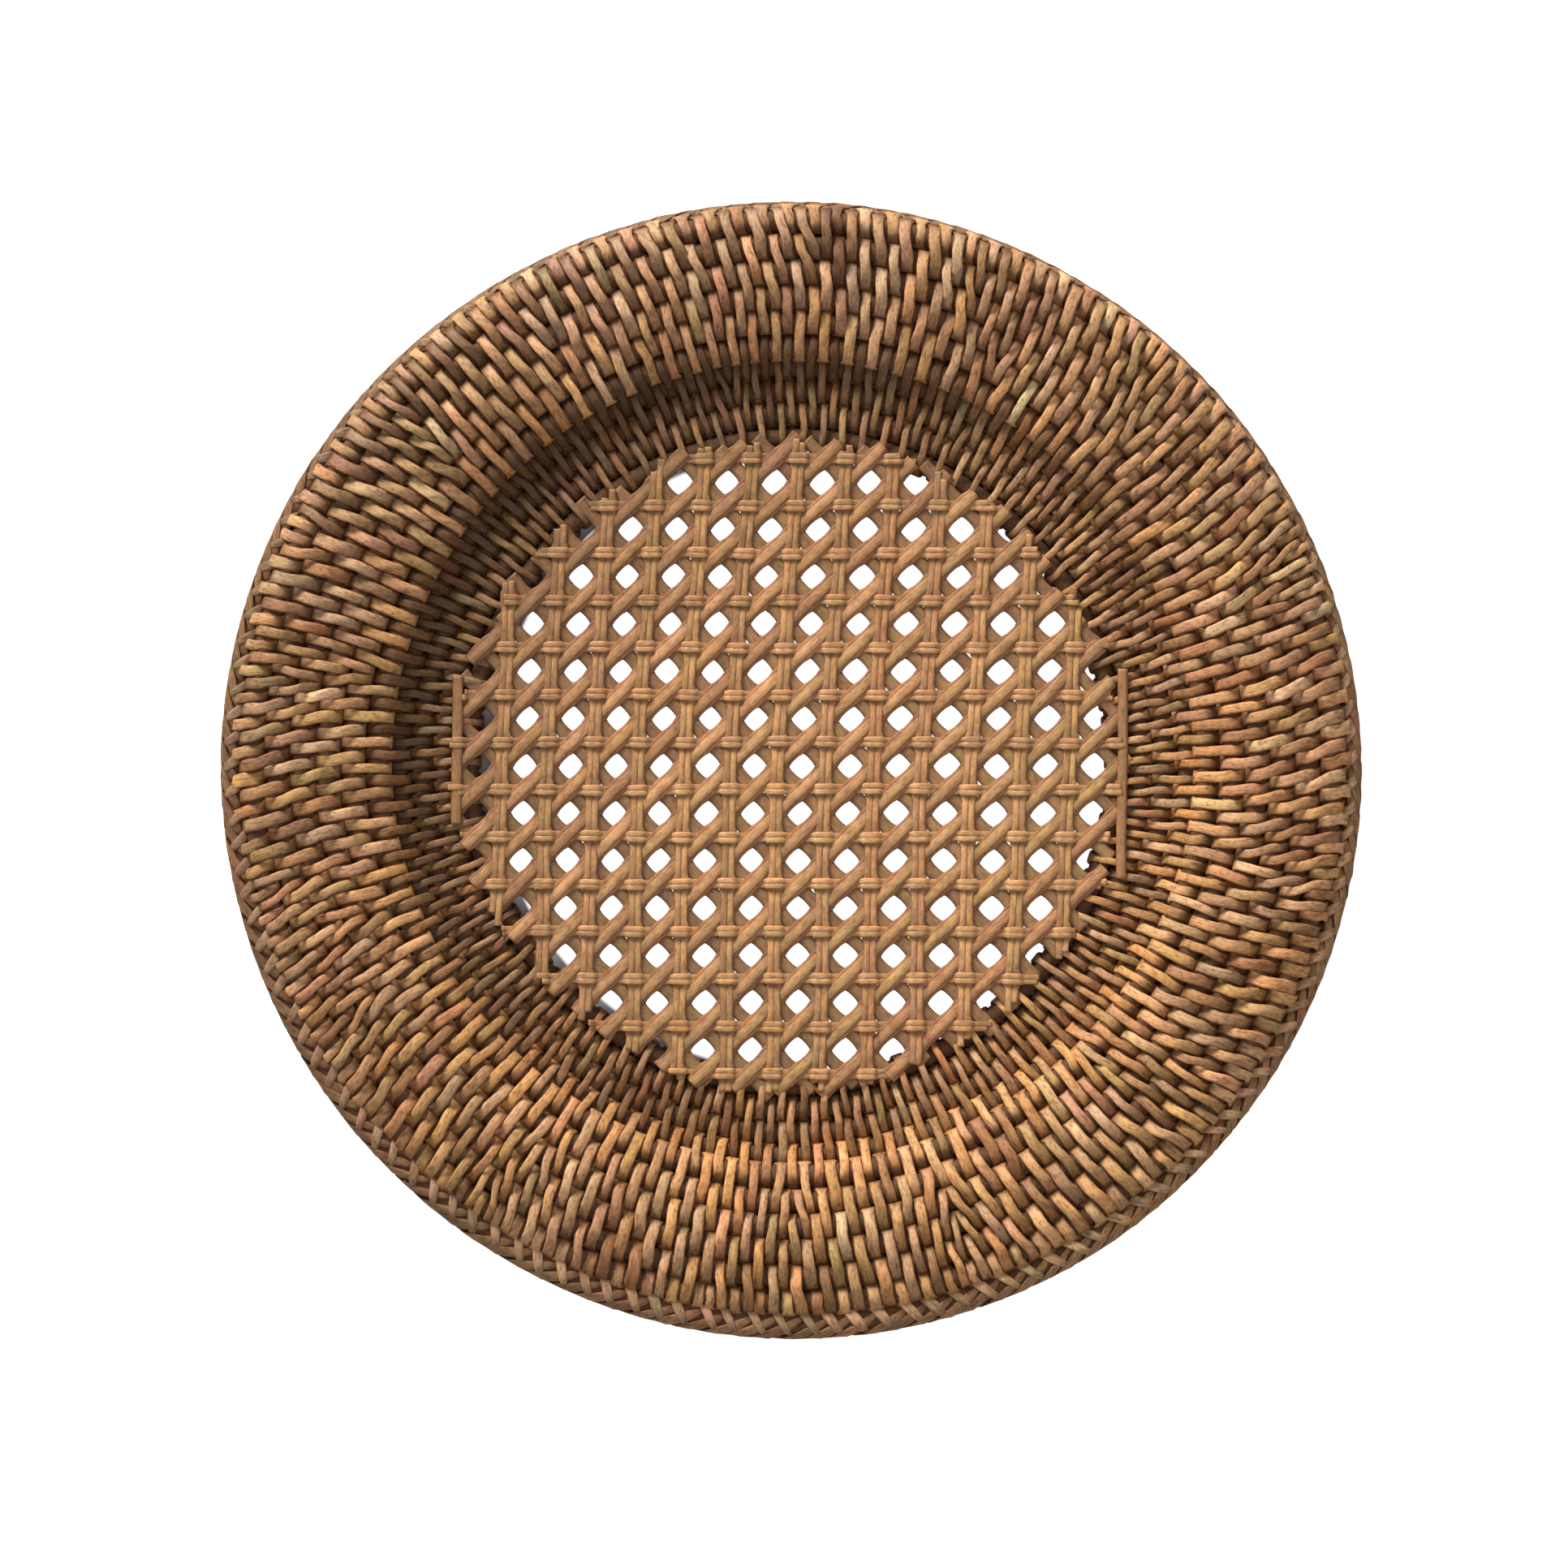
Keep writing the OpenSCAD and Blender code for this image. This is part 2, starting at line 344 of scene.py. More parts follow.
# Wraps: lists of ten go by row, from the panel outwards, and lists of twelve go clockwise from the
# back, every 30 degrees
wraps = {
    "counts": [102, 102, 103, 103, 104, 107, 113, 120, 126, 130],
    "innerRoom": 0.5,        # share of their spacing that strips take at the panel, as between two rows
    "gapReach": 5,           # gaps on either side that count when a gap is picked for two strips
    "gapScatter": 0.03,
    "gapShrink": 0.25, "gapApart": 6.0,     # how much a picked gap puts off the gaps round it, and how many
    "relaxRounds": 14,
    "placeScatter": 0.07,    # share of a strip's room by which it is off its place
    "leanRound": [15, 14, 12, 20, 17, 7, 4, 10, 18, 14, 5, 6],           # degrees
    "leanShare": [0.3, 0.3, 0.3, 0.15, 0.1, 0.35, 0.7, 0.95, 1.0, 0.8],  # of that, by row
    "leanScatter": 2.0,      # degrees
    "kink": 0.6,             # share of its way round that a strip makes in one smooth step
    "bend": 0.22 * mm,       # how far a strip may curve to one side
    "fill": [0.7, 0.7, 0.74, 0.8, 0.84, 0.84, 0.84, 0.84, 0.84, 0.84],  # share of its room on top
    "fillBelow": 1.6,        # and on the underside, where neighbours overlap
    "fillScatter": (0.07, 0.8, 1.12),       # scatter, least and most
    "belowFrom": 0.95, "belowRate": 1.7,    # share of that at the turns, and how fast it falls upwards
    "thickness": 0.55 * mm,
    "thicknessScatter": (0.1, 0.8, 1.2),    # scatter, least and most
    "pressed": 0.8,          # share thicker where it is pressed in between two hoops
    "underThinner": 0.45,    # share thinner on the underside
    "play": 0.05 * mm,       # between strip and hoop
    "steps": (11, 7),        # points along the top and along the underside
    "power": [2.1, 2.0, 2.2, 3.0, 2.4, 1.85, 1.75, 1.75, 1.75, 1.9],       # of the arch: 2 is round
    "rise": [1.35, 1.35, 1.25, 1.08, 1.12, 1.36, 1.58, 1.65, 1.62, 1.45],  # in halves of a hoop's thickness
    "powerBelow": 4.0, "riseBelow": 1.02,   # the same on the underside, which is flatter
    "edgeEnd": [161.4, 161.9, 162.6, 162.4, 161.9, 161.4, 161.0, 160.4, 162.0, 164.0, 163.2, 162.1],  # mm
    "edgeTurnDrop": 1.8 * mm, "edgeDropSwing": 0.8 * mm,  # of the outermost turn below the last rim hoop
    "edgeTurnD": 2.2 * mm,   # and its diameter
    # painted shade, with some dark stain, where a strip turns down into the hollow between hoops and on its
    # underside
    "shadeAndStain": 0.85, "shadeAndStainBelow": 0.7,       # at the turns, and its share on the underside
    "shadeAndStainReach": 0.4,       # radians of the turn over which it fades
    # painted shade, with some dirt, along a strip's edges, where it meets its neighbours
    "edgeShadeShare": [0.7, 0.2, 0.0, 0.0, 0.2, 0.7],  # of the darker edge, round the section
    # painted shade and light: the row's shade is darker in the well, which the wall shades, and paler on the
    # shoulder and rim; its swing makes a row paler towards the front right, which faces the key lamp at the
    # back left, and darker at the back left, in the wall's shadow
    "shade": [0.86, 0.7, 0.57, 0.68, 1.16, 1.1, 1.14, 0.98, 0.95, 1.12],  # of the tint
    "paintedShadeSwing": [0.35, 0.38, 0.62, 0.68, 0, 0, 0, 0, 0.25, 0.2],        # and how much paler to one side
    "paintedLightToward": [120, 115, 105, 150, 0, 0, 0, 0, 130, 120],            # degrees clockwise from the back
    # painted warm shade: the rows in the well, its wall and the shoulder take a redder hue for the warm light
    # in their shade
    "warmShadeShare": [0.3, 0.35, 0.5, 0.8, 0.6, 0.1, -0.2, 0, 0, 0],  # how much of the warmer hue each row has
    "warmShadeHue": (1.05, 0.95, 0.83),
    "goldenToward": 170,     # the side where the second tint is commonest, opposite the first's
    "ownShare": 0.6,         # of a strip's own tint in the mix with the one common on its side
    "shadeScatter": 0.14, "hueScatter": 0.035,
    "tintRange": (0.02, 0.85),
    "spliceAt": 4, "spliceHalf": 1.6,       # degrees: where a few strips are darker
    "spliceFrom": 7, "spliceShade": 0.5,    # from this row outwards
    "tints": np.array([(0.56, 0.327, 0.183), (0.57, 0.302, 0.12), (0.50, 0.257, 0.138),
                       (0.41, 0.255, 0.105), (0.42, 0.18, 0.075), (0.25, 0.115, 0.055),
                       (0.70, 0.45, 0.26)]),
    "tintShares": [0.30, 0.27, 0.15, 0.09, 0.10, 0.05, 0.04],
}


def drawTints(angle, row):
    # a strip's tint mixes the one common on its side with one drawn for itself; the row's painted shade,
    # its painted swing of light round the circle and its painted warm shade multiply the mix
    fromSplice = np.abs(clockwiseOf(angle) - wraps["spliceAt"])
    splice = (fromSplice < wraps["spliceHalf"]) & (row >= wraps["spliceFrom"])
    shade = wraps["shade"][row] * swingRound(angle, wraps["paintedShadeSwing"][row], wraps["paintedLightToward"][row])
    golden = swingRound(angle, 1, wraps["goldenToward"])[:, None] / 2
    tints = wraps["tints"]
    own = tints[draw.choice(len(tints), len(angle), p=wraps["tintShares"])]
    common = tints[0] + (tints[1] - tints[0]) * golden
    mixed = common * (1 - wraps["ownShare"]) + own * wraps["ownShare"]
    mixed = mixed * (np.where(splice, wraps["spliceShade"], 1) * shade)[:, None]
    mixed = mixed * (1 + wraps["warmShadeShare"][row] * (np.array(wraps["warmShadeHue"]) - 1))
    mixed = scatterTint(mixed, len(angle), wraps["shadeScatter"], wraps["hueScatter"])
    return mixed.clip(*wraps["tintRange"])


def relax(places):
    # each place moves half way to the middle between its two neighbours, round the circle
    for _ in range(wraps["relaxRounds"]):
        before = np.roll(places, 1)
        before[0] -= circle
        after = np.roll(places, -1)
        after[-1] += circle
        places = places + 0.5 * ((before + after) / 2 - places)
    return places


def widestGaps(gaps, count):
    # gaps that take two strips: each time the one whose neighbourhood is widest, and then the scores
    # round it shrink by a bell curve, so the next one is picked elsewhere
    reach = wraps["gapReach"]
    score = sum(np.roll(gaps, k) for k in range(-reach, reach + 1))
    score = score * draw.normal(1, wraps["gapScatter"], len(gaps))
    steps = np.arange(len(gaps))
    away = np.minimum(steps, len(gaps) - steps)
    shrink = 1 - wraps["gapShrink"] * np.exp(-(away / wraps["gapApart"]) ** 2)
    picked = np.zeros(len(gaps), bool)
    for _ in range(count):
        best = int(np.argmax(np.where(picked, 0, score)))
        picked[best] = True
        score = score * np.roll(shrink, best)
    return picked


def interleave(outer, count):
    # the next row's strips go between this row's outer ends, two in a gap where its count is higher
    following = np.append(outer[1:], outer[0] + circle)
    perGap = 1 + widestGaps(following - outer, count - len(outer))
    order, isNext = [], []
    for place, after, extra in zip(outer, following, perGap):
        order += [place] + [place + (after - place) * (e + 1) / (extra + 1) for e in range(extra)]
        isNext += [False] + [True] * extra
    order, isNext = relax(np.array(order)), np.array(isNext)
    room = np.diff(np.append(order, order[0] + circle))
    order = order + draw.normal(0, wraps["placeScatter"], len(order)) * room
    return order[~isNext], order[isNext], room[~isNext], room[isNext]


def turnAt(hoop, count):
    # radius and height of the hoop's middle, and the radius at which strips turn round it
    return tuple(np.full(count, v) for v in (hoopR[hoop], hoopZ[hoop], hoopD[hoop] / 2 + wraps["play"]))


def beltLine(inner, outer, row):
    # the closed line of a strip, as (outward, up), round its inner and outer turn: an oval with the
    # power of the cosine along it and the power of the sine across it, flatter underneath
    (innerR, innerZ, innerTurn), (outerR, outerZ, outerTurn) = inner, outer
    run, rise = outerR - innerR, outerZ - innerZ
    distance = np.hypot(run, rise)
    forward = np.stack([run, rise], -1) / distance[:, None]
    outward = np.stack([-forward[:, 1], forward[:, 0]], -1)
    middle = np.stack([innerR + outerR, innerZ + outerZ], -1) / 2
    middle = middle + forward * ((outerTurn - innerTurn) / 2)[:, None]
    halfLength, halfHeight = (distance + innerTurn + outerTurn) / 2, (innerTurn + outerTurn) / 2
    top, below = wraps["steps"]
    turn = np.concatenate([np.linspace(0, np.pi, top, endpoint=False),
                           np.linspace(np.pi, circle, below, endpoint=False)])
    onTop = turn < np.pi
    power = 2 / np.where(onTop, wraps["power"][row], wraps["powerBelow"])
    height = np.where(onTop, wraps["rise"][row], wraps["riseBelow"])
    x = np.sign(np.cos(turn)) * np.abs(np.cos(turn)) ** power
    y = np.sign(np.sin(turn)) * np.abs(np.sin(turn)) ** power * height
    points = (middle[:, None] + forward[:, None] * (halfLength[:, None] * x)[..., None]
              + outward[:, None] * (halfHeight[:, None] * y)[..., None])
    tangent = np.roll(points, -1, 1) - np.roll(points, 1, 1)
    normals = np.stack([tangent[..., 1], -tangent[..., 0]], -1)
    normals /= np.linalg.norm(normals, axis=-1, keepdims=True)
    fromTurn = np.minimum(turn, np.abs(np.pi - turn)) / wraps["shadeAndStainReach"]
    shadeAndStain = np.where(onTop, np.exp(-fromTurn ** 2), wraps["shadeAndStainBelow"]) * wraps["shadeAndStain"]
    return points, normals, shadeAndStain


def leanOf(row, angle):
    # the angle by which a strip's outer end is ahead: that of its side times its row's share
    lean = roundCircle(wraps["leanRound"], angle) * wraps["leanShare"][row]
    return np.radians(lean + draw.normal(0, wraps["leanScatter"], len(angle)))


def windRow(row, inner, outer, roomInner, roomOuter):
    # each strip follows its belt line while it goes round from its inner to its outer place, partly
    # evenly with the radius and partly in one smooth step; its width is its room times its fill
    count = len(inner)
    angle = inner % circle
    a = turnAt(row, count)
    if row < lastRow:
        b = turnAt(row + 1, count)
        slope = (outer - inner) / (b[0] - a[0])
    else:
        turnR = wraps["edgeTurnD"] / 2 + wraps["play"]
        endR = roundCircle(wraps["edgeEnd"], angle) * mm - turnR - wraps["thickness"] * (1 + wraps["pressed"])
        endZ = hoopZ[row] - wraps["edgeTurnDrop"] - wraps["edgeDropSwing"] * np.sin(angle)
        b = (endR, endZ, np.full(count, turnR))
        slope = np.tan(leanOf(row, angle)) / hoopR[row]
    points, normals, shadeAndStain = beltLine(a, b, row)
    radius, upness = points[..., 0], normals[..., 1]
    start, run = a[0][:, None], (b[0] - a[0])[:, None]
    share = np.clip((radius - start) / run, 0, 1)
    step = wraps["kink"] * (smoothStep(share) * run + start - radius)
    theta = inner[:, None] + slope[:, None] * (radius - start + step)
    theta = theta + draw.normal(0, wraps["bend"], (count, 1)) * np.sin(np.pi * share) / hoopR[row]
    line = polarPlace(theta, radius, points[..., 1])
    up = polarPlace(theta, normals[..., 0], upness)
    side = np.stack([-np.sin(theta), np.cos(theta), np.zeros_like(theta)], -1)
    room = (roomInner[:, None] * (1 - share) + roomOuter[:, None] * share) * radius
    below = np.clip(wraps["belowFrom"] - wraps["belowRate"] * upness, 0, 1)
    fill = wraps["fill"][row] * drawNear(count, *wraps["fillScatter"])
    width = room * (fill * (1 - below) + wraps["fillBelow"] * below)
    thickness = wraps["thickness"] * drawNear(count, *wraps["thicknessScatter"])
    thickness = thickness * (1 + wraps["pressed"] * (1 - np.abs(upness)))
    thickness = thickness * (1 - wraps["underThinner"] * np.clip(-upness, 0, 1))
    ribbon, faces = sweepRibbons(line, side, up, width, thickness, wrapSection, True)
    addPiece("wraps_" + rowNodes[row], ribbon, faces, wrapPeel, [rowNodes[row]], {
        "strip": stripField(line, wrapSection, width),
        "tint": drawTints(angle, row)[:, None, None],
        "shadeAndStain": shadeAndStain[None, :, None],
        "edgeShadeShare": wraps["edgeShadeShare"],
    })


places = np.linspace(0, circle, wraps["counts"][0], endpoint=False)
rooms = np.full(len(places), circle / len(places))
for row in range(lastRow):
    shift = np.tan(leanOf(row, places)) * (hoopR[row + 1] - hoopR[row]) / hoopR[row]
    outerPlaces, nextPlaces, outerRooms, nextRooms = interleave(places + shift, wraps["counts"][row + 1])
    windRow(row, places, outerPlaces, rooms if row else rooms * wraps["innerRoom"], outerRooms)
    places, rooms = nextPlaces, nextRooms
windRow(lastRow, places, places, rooms, rooms)
print("wraps wound")


# Cane panel: strands that wave over and under each other
cane = {
    "pitch": 13.75 * mm,
    "shiftX": -1.6 * mm, "shiftY": 5.6 * mm,
    "lean": np.radians(2.5),  # of the uprights, to the right at the back
    "bow": -2.4 * mm,         # how far the middle is pulled to the left
    "layer": 0.46 * mm,       # one strand's height above the next
    "thickness": 0.5 * mm,
    "uprightW": 2.1 * mm, "crossingW": 2.2 * mm, "risingW": 4.2 * mm, "fallingW": 3.85 * mm,
    "uprightOverlap": 0.3 * mm, "crossingOverlap": 0.36 * mm,  # of the two strands of a pair
    "widthScatter": (0.03, 0.95, 1.05),     # scatter, least and most
    "capRise": 1.9,           # layers that a crossing pair rises where it passes over an upright
    "capHalf": 0.125, "capSlope": 0.085,    # half length of that cap and of the dive beside it, in pitches
    "capFlare": -0.13, "endFlare": -0.13,   # the pair is pressed together in its cap, and more beside it
    "endHalf": 0.13,          # half length of what isn't pressed more, in pitches
    "uprightFlare": 0.25, "uprightHalf": 0.14,  # the uprights are spread where a pair crosses them
    "cornerWidth": 0.75 * mm, "cornerFull": 2.3 * mm,  # the diagonals are broader where they meet
    "cornerReach": 4.3 * mm,
    "edgeFrom": 0.4,          # the part of a section, from its middle, that a flare leaves as it is
    "openingR": 91 * mm,      # a strand that doesn't cross the opening is left out
    "cutR": 96.0 * mm, "cutJitter": 1.1 * mm, "cutLeast": 10 * mm,
    "cut": [93.5, 94.5, 95.0, 96.5, 96.5, 95.5, 96.5, 96.0, 97.0, 99.0, 97.0, 94.5],  # mm, every 30 degrees
    "step": 0.85 * mm,
    "wander": 0.14 * mm, "wanderScales": (9 * mm, 17 * mm, 31 * mm),  # of three waves, per radian
    "loose": [(-97.4 * mm, -18.2 * mm, 25.0 * mm), (95.8 * mm, -34 * mm, 27 * mm)],  # x, from, to
    "looseW": 3.1 * mm, "looseLevel": 2.3,
    "tint": np.array([0.59, 0.32, 0.141]),
    "shadeScatter": 0.1, "hueScatter": 0.03,
    # painted shade and light by layer: the falling strands, lowest in the weave, darker, and the crossing
    # pairs on top paler
    "layerShade": {"fallingStrands": 0.8, "crossingStrands": 1.06},  # of the tint, where it isn't 1
    # painted shade across the panel: darker towards the back left, where the key lamp is nearest, and towards
    # the cut edge, which the rim shades
    "paintedShadeTurn": 0.85, "paintedShadeOut": 0.2,     # darker towards the back left, per metre, and towards the edge
    # painted shade at a strand's lowest level, where it passes under the others
    "shadeAndStain": 0.32,            # at a strand's lowest level
    # painted shade along a strand's low edges, where it sinks beside the strands it crosses
    "edgeShadeShare": 0.7, "edgeShadePower": 0.7,       # of the darker edge, where the section is low
}
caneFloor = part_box("cane_falling_diagonals")[0].z
pitch, leanSlope = cane["pitch"], np.tan(cane["lean"])


def cutReach(away, sign, direction, left):
    # half length at which a line that passes the centre at this distance meets the uneven cut edge,
    # found in three rounds
    reach = np.sqrt(cane["cutR"] ** 2 - away ** 2)
    for _ in range(3):
        end = sign * reach[:, None] * direction + away[:, None] * left
        edge = roundCircle(cane["cut"], np.arctan2(end[:, 1], end[:, 0])) * mm
        reach = np.sqrt(np.maximum(edge ** 2 - away ** 2, cane["cutLeast"] ** 2))
    return reach


def layStrands(name, angle, origins, offsets, width, section, levelAt, flareAt, replaced, span=None):
    # straight lines through the origins, offset to their left where they are pairs, and cut at the
    # panel's edge or at the span; the height is the level at each point times a layer, the flare
    # spreads width and offset, and a slow wander keeps each line from ruler straightness
    direction = np.array([np.cos(angle), np.sin(angle)])
    left = np.array([-direction[1], direction[0]])
    twins = 2 if offsets.any() else 1
    middles = origins + offsets[:, None] * left
    away = middles @ left
    margin = width / 2 if twins == 1 else 0.0
    keep = (np.abs(origins @ left) + margin < cane["openingR"]) | (span is not None)
    middles, away, offsets = middles[keep], away[keep], offsets[keep]
    count = len(middles)
    if span is None:
        foot = middles @ direction
        starts, ends = (sign * cutReach(away, sign, direction, left)
                        + draw.normal(0, 1, count) * cane["cutJitter"] - foot for sign in (-1, 1))
    else:
        starts, ends = np.full(count, span[0]), np.full(count, span[1])
    steps = int((ends - starts).max() / cane["step"])
    t = starts[:, None] + (ends - starts)[:, None] * np.linspace(0, 1, steps)
    flat = middles[:, None] + t[..., None] * direction
    phase = np.repeat(draw.uniform(0, circle, (3, (count + 1) // twins + 1, 1)), twins, 1)[:, :count]
    wander = sum(np.sin(t / scale + p) for scale, p in zip(cane["wanderScales"], phase)) * cane["wander"]
    flare = flareAt(flat[..., 0], flat[..., 1])
    flat = flat + (wander + offsets[:, None] * (flare - 1))[..., None] * left
    level = levelAt(flat[..., 0], flat[..., 1])
    out = (np.hypot(flat[..., 0], flat[..., 1]) / cane["cutR"]) ** 2
    bow = cane["bow"] * (1 - out).clip(0, 1) ** 2
    line = np.stack([flat[..., 0] + bow, flat[..., 1], caneFloor + cane["layer"] * level], -1)
    forward = np.gradient(line, axis=1)
    forward /= np.linalg.norm(forward, axis=2, keepdims=True)
    side = np.cross(forward, vertical)
    side /= np.linalg.norm(side, axis=2, keepdims=True)
    up = np.cross(side, forward)
    widths = width * drawNear(count, *cane["widthScatter"]) * np.ones((1, steps))
    spread = widths[..., None] * np.where(np.abs(section[:, 0]) < cane["edgeFrom"], 1, flare[..., None])
    thickness = np.full((count, steps), cane["thickness"])
    ribbon, faces = sweepRibbons(line, side, up, spread, thickness, section, False)
    tint = scatterTint(cane["tint"], count, cane["shadeScatter"], cane["hueScatter"])
    # painted shade across the panel
    shade = 1 - cane["paintedShadeTurn"] * (line[..., 1] - line[..., 0]) - cane["paintedShadeOut"] * out
    lowness = 1 - (level - level.min()) / (np.ptp(level) + 0.01)  # the 0.01 is for level strands
    addPiece(name, ribbon, faces, canePeel, replaced, {
        "strip": stripField(line, section, widths),
        "tint": (tint * cane["layerShade"].get(name, 1))[:, None, None] * shade[..., None, None],
        "shadeAndStain": (cane["shadeAndStain"] * lowness ** 2)[:, :, None],
        "edgeShadeShare": cane["edgeShadeShare"] * (1 - section[:, 1].clip(0, 1)) ** cane["edgeShadePower"],
    }, ridgeCrisp if section is ridgeSection else ())


def cell(x, y):
    # place in the mesh, in pitches: whole numbers at the crossings of the pairs
    row = (y - cane["shiftY"]) / pitch
    return (x - cane["shiftX"] - (y - cane["shiftY"]) * leanSlope) / pitch, row


def smoothWave(share):
    # 1 at whole numbers and 0 midway, with flat crests
    return smoothStep(0.5 + 0.5 * np.cos(circle * share))


def capWave(share, half):
    # 1 over the cap at whole numbers, 0 beyond the dive beside it, with a smooth dive
    away = np.abs(share - np.round(share))
    return smoothStep(np.clip((half + cane["capSlope"] - away) / cane["capSlope"], 0, 1))


def cornerFlare(x, y):
    # the diagonals are broader where they meet, so the corners of the holes are round: the share
    # that is added falls with the square of the distance to the meeting place
    meeting = cell(x, y)[0] * 2
    away = np.abs(meeting - np.round(meeting)) * pitch / np.sqrt(2)
    near = np.clip((cane["cornerReach"] - away) / (cane["cornerReach"] - cane["cornerFull"]), 0, 1)
    return 1 + cane["cornerWidth"] / cane["risingW"] * near ** 2


def crossingFlare(x, y):
    # pressed together in the cap, and more beside it
    return 1 + cane["capFlare"] + cane["endFlare"] * (1 - capWave(cell(x, y)[0], cane["endHalf"]))


def gridOrigins(steps, dx, dy):
    # the grid's origin moved by each number of steps
    return np.stack([cane["shiftX"] + steps * dx, cane["shiftY"] + steps * dy], -1)


reachCount = int(cane["cutR"] / pitch) + 1
pairSteps = np.repeat(np.arange(-reachCount, reachCount + 1), 2)
pairSides = np.tile([-0.5, 0.5], len(pairSteps) // 2)
diagonalOrigins = gridOrigins(np.arange(-2 * reachCount, 2 * reachCount) + 0.5, pitch, 0)
single = np.zeros(len(diagonalOrigins))
layStrands("fallingStrands", np.arctan2(1, -1 + leanSlope), diagonalOrigins, single, cane["fallingW"],
           caneSection, lambda x, y: np.zeros_like(x), cornerFlare, ["cane_falling_diagonals"])
layStrands("risingStrands", np.arctan2(1, 1 + leanSlope), diagonalOrigins, single, cane["risingW"],
           ridgeSection, lambda x, y: 1 + smoothWave(cell(x, y)[1]), cornerFlare,
           ["cane_rising_diagonals"])
layStrands("crossingStrands", 0.0, gridOrigins(pairSteps, 0, pitch),
           pairSides * (cane["crossingW"] - cane["crossingOverlap"]), cane["crossingW"], caneSection,
           lambda x, y: 1 + cane["capRise"] * capWave(cell(x, y)[0], cane["capHalf"]), crossingFlare,
           ["cane_crossings"])
layStrands("uprightStrands", np.pi / 2 - cane["lean"], gridOrigins(pairSteps, pitch, 0),
           pairSides * (cane["uprightW"] - cane["uprightOverlap"]), cane["uprightW"], caneSection,
           lambda x, y: 1 + smoothWave(cell(x, y)[1] + 0.5),
           lambda x, y: 1 + cane["uprightFlare"] * capWave(cell(x, y)[1], cane["uprightHalf"]),
           ["cane_uprights"])
for hand, (x, low, high) in zip(("Left", "Right"), cane["loose"]):
    layStrands("looseStrand" + hand, np.pi / 2, np.array([[x, 0.0]]), np.zeros(1), cane["looseW"],
               caneSection, lambda x, y: np.full_like(x, cane["looseLevel"]), lambda x, y: np.ones_like(x),
               [], (low, high))
print("cane laid")


# Border: a core bar and leaf-shaped strips plaited over it, wider and higher at the front
border = {
    "reach": [161.9, 162.1, 163.0, 164.5, 165.8, 166.9, 167.0, 166.2, 165.7, 165.4, 164.2, 162.6],  # mm
    "middleZ": 13.2 * mm, "middleRise": -1.2 * mm,      # a rise or swing is the change at the back
    "halfWidth": 2.7 * mm, "halfWidthSwing": -1.2 * mm,
    "halfHeight": 2.0 * mm, "halfHeightSwing": -0.5 * mm,
    "swingAhead": np.radians(20),                       # or rather this far clockwise from the back
    "coreShare": 0.84,       # of the border's half width, the rest is strips
    "coreSteps": (240, 12),  # round the plate and round the bar
    "count": 138,
    "steps": 9,
    "thickness": 0.6 * mm,
    "sink": 0.35 * mm,       # of a strip's middle line into the border's outline
    "liftPower": 0.7,        # less is a fuller crown
    "endWidth": 0.45, "widthPower": 0.6,                # share of the width at a leaf's two ends
    "widthScatter": 0.08,
    "placeScatter": 0.06, "turnScatter": 0.05,          # in leaves round the plate, in radians round the bar
    "plaitR": 164.5 * mm,    # where the lean is measured
    # painted shade: the leaves darker towards the back left, where the border's edge is in shade, and paler
    # towards the front right
    "shade": 0.76, "paintedShadeSwing": 0.32, "paintedLightToward": 130,  # of the tints, as for the wraps
    "shadeScatter": 0.12, "hueScatter": 0.04,
    "tintRange": (0.03, 0.85),
    # painted shade at a leaf's two ends, where it tucks under its neighbours
    "shadeAndStain": 0.75,           # at a leaf's two ends
    # painted shade along a leaf's edges, where it meets its neighbours
    "edgeShadeShare": [0.85, 0.25, 0.0, 0.0, 0.25, 0.85],
    "innerLeaf": {"from": 205, "to": 30, "lean": 47,    # degrees round the bar, and off its section
                  "width": 3.1 * mm, "lift": 0.5 * mm, "tint": (0.59, 0.355, 0.20)},
    "outerLeaf": {"from": 122, "to": -75, "lean": -70,
                  "width": 3.3 * mm, "lift": 0.1 * mm, "tint": (0.42, 0.225, 0.11)},
}


def borderAt(angle, around, grow):
    # place on the border's oval section and the way out of it there; its middle and half sizes swing
    # with the sine of the angle
    swing = np.sin(angle + border["swingAhead"])
    halfWidth = border["halfWidth"] + border["halfWidthSwing"] * swing
    middle = roundCircle(border["reach"], angle) * mm - halfWidth
    height = border["middleZ"] + border["middleRise"] * swing
    a = halfWidth + grow
    b = border["halfHeight"] + border["halfHeightSwing"] * swing + grow
    point = polarPlace(angle, middle + a * np.cos(around), height + b * np.sin(around))
    normal = polarPlace(angle, np.cos(around) / a, np.sin(around) / b)
    return point, normal / np.linalg.norm(normal, axis=-1, keepdims=True)


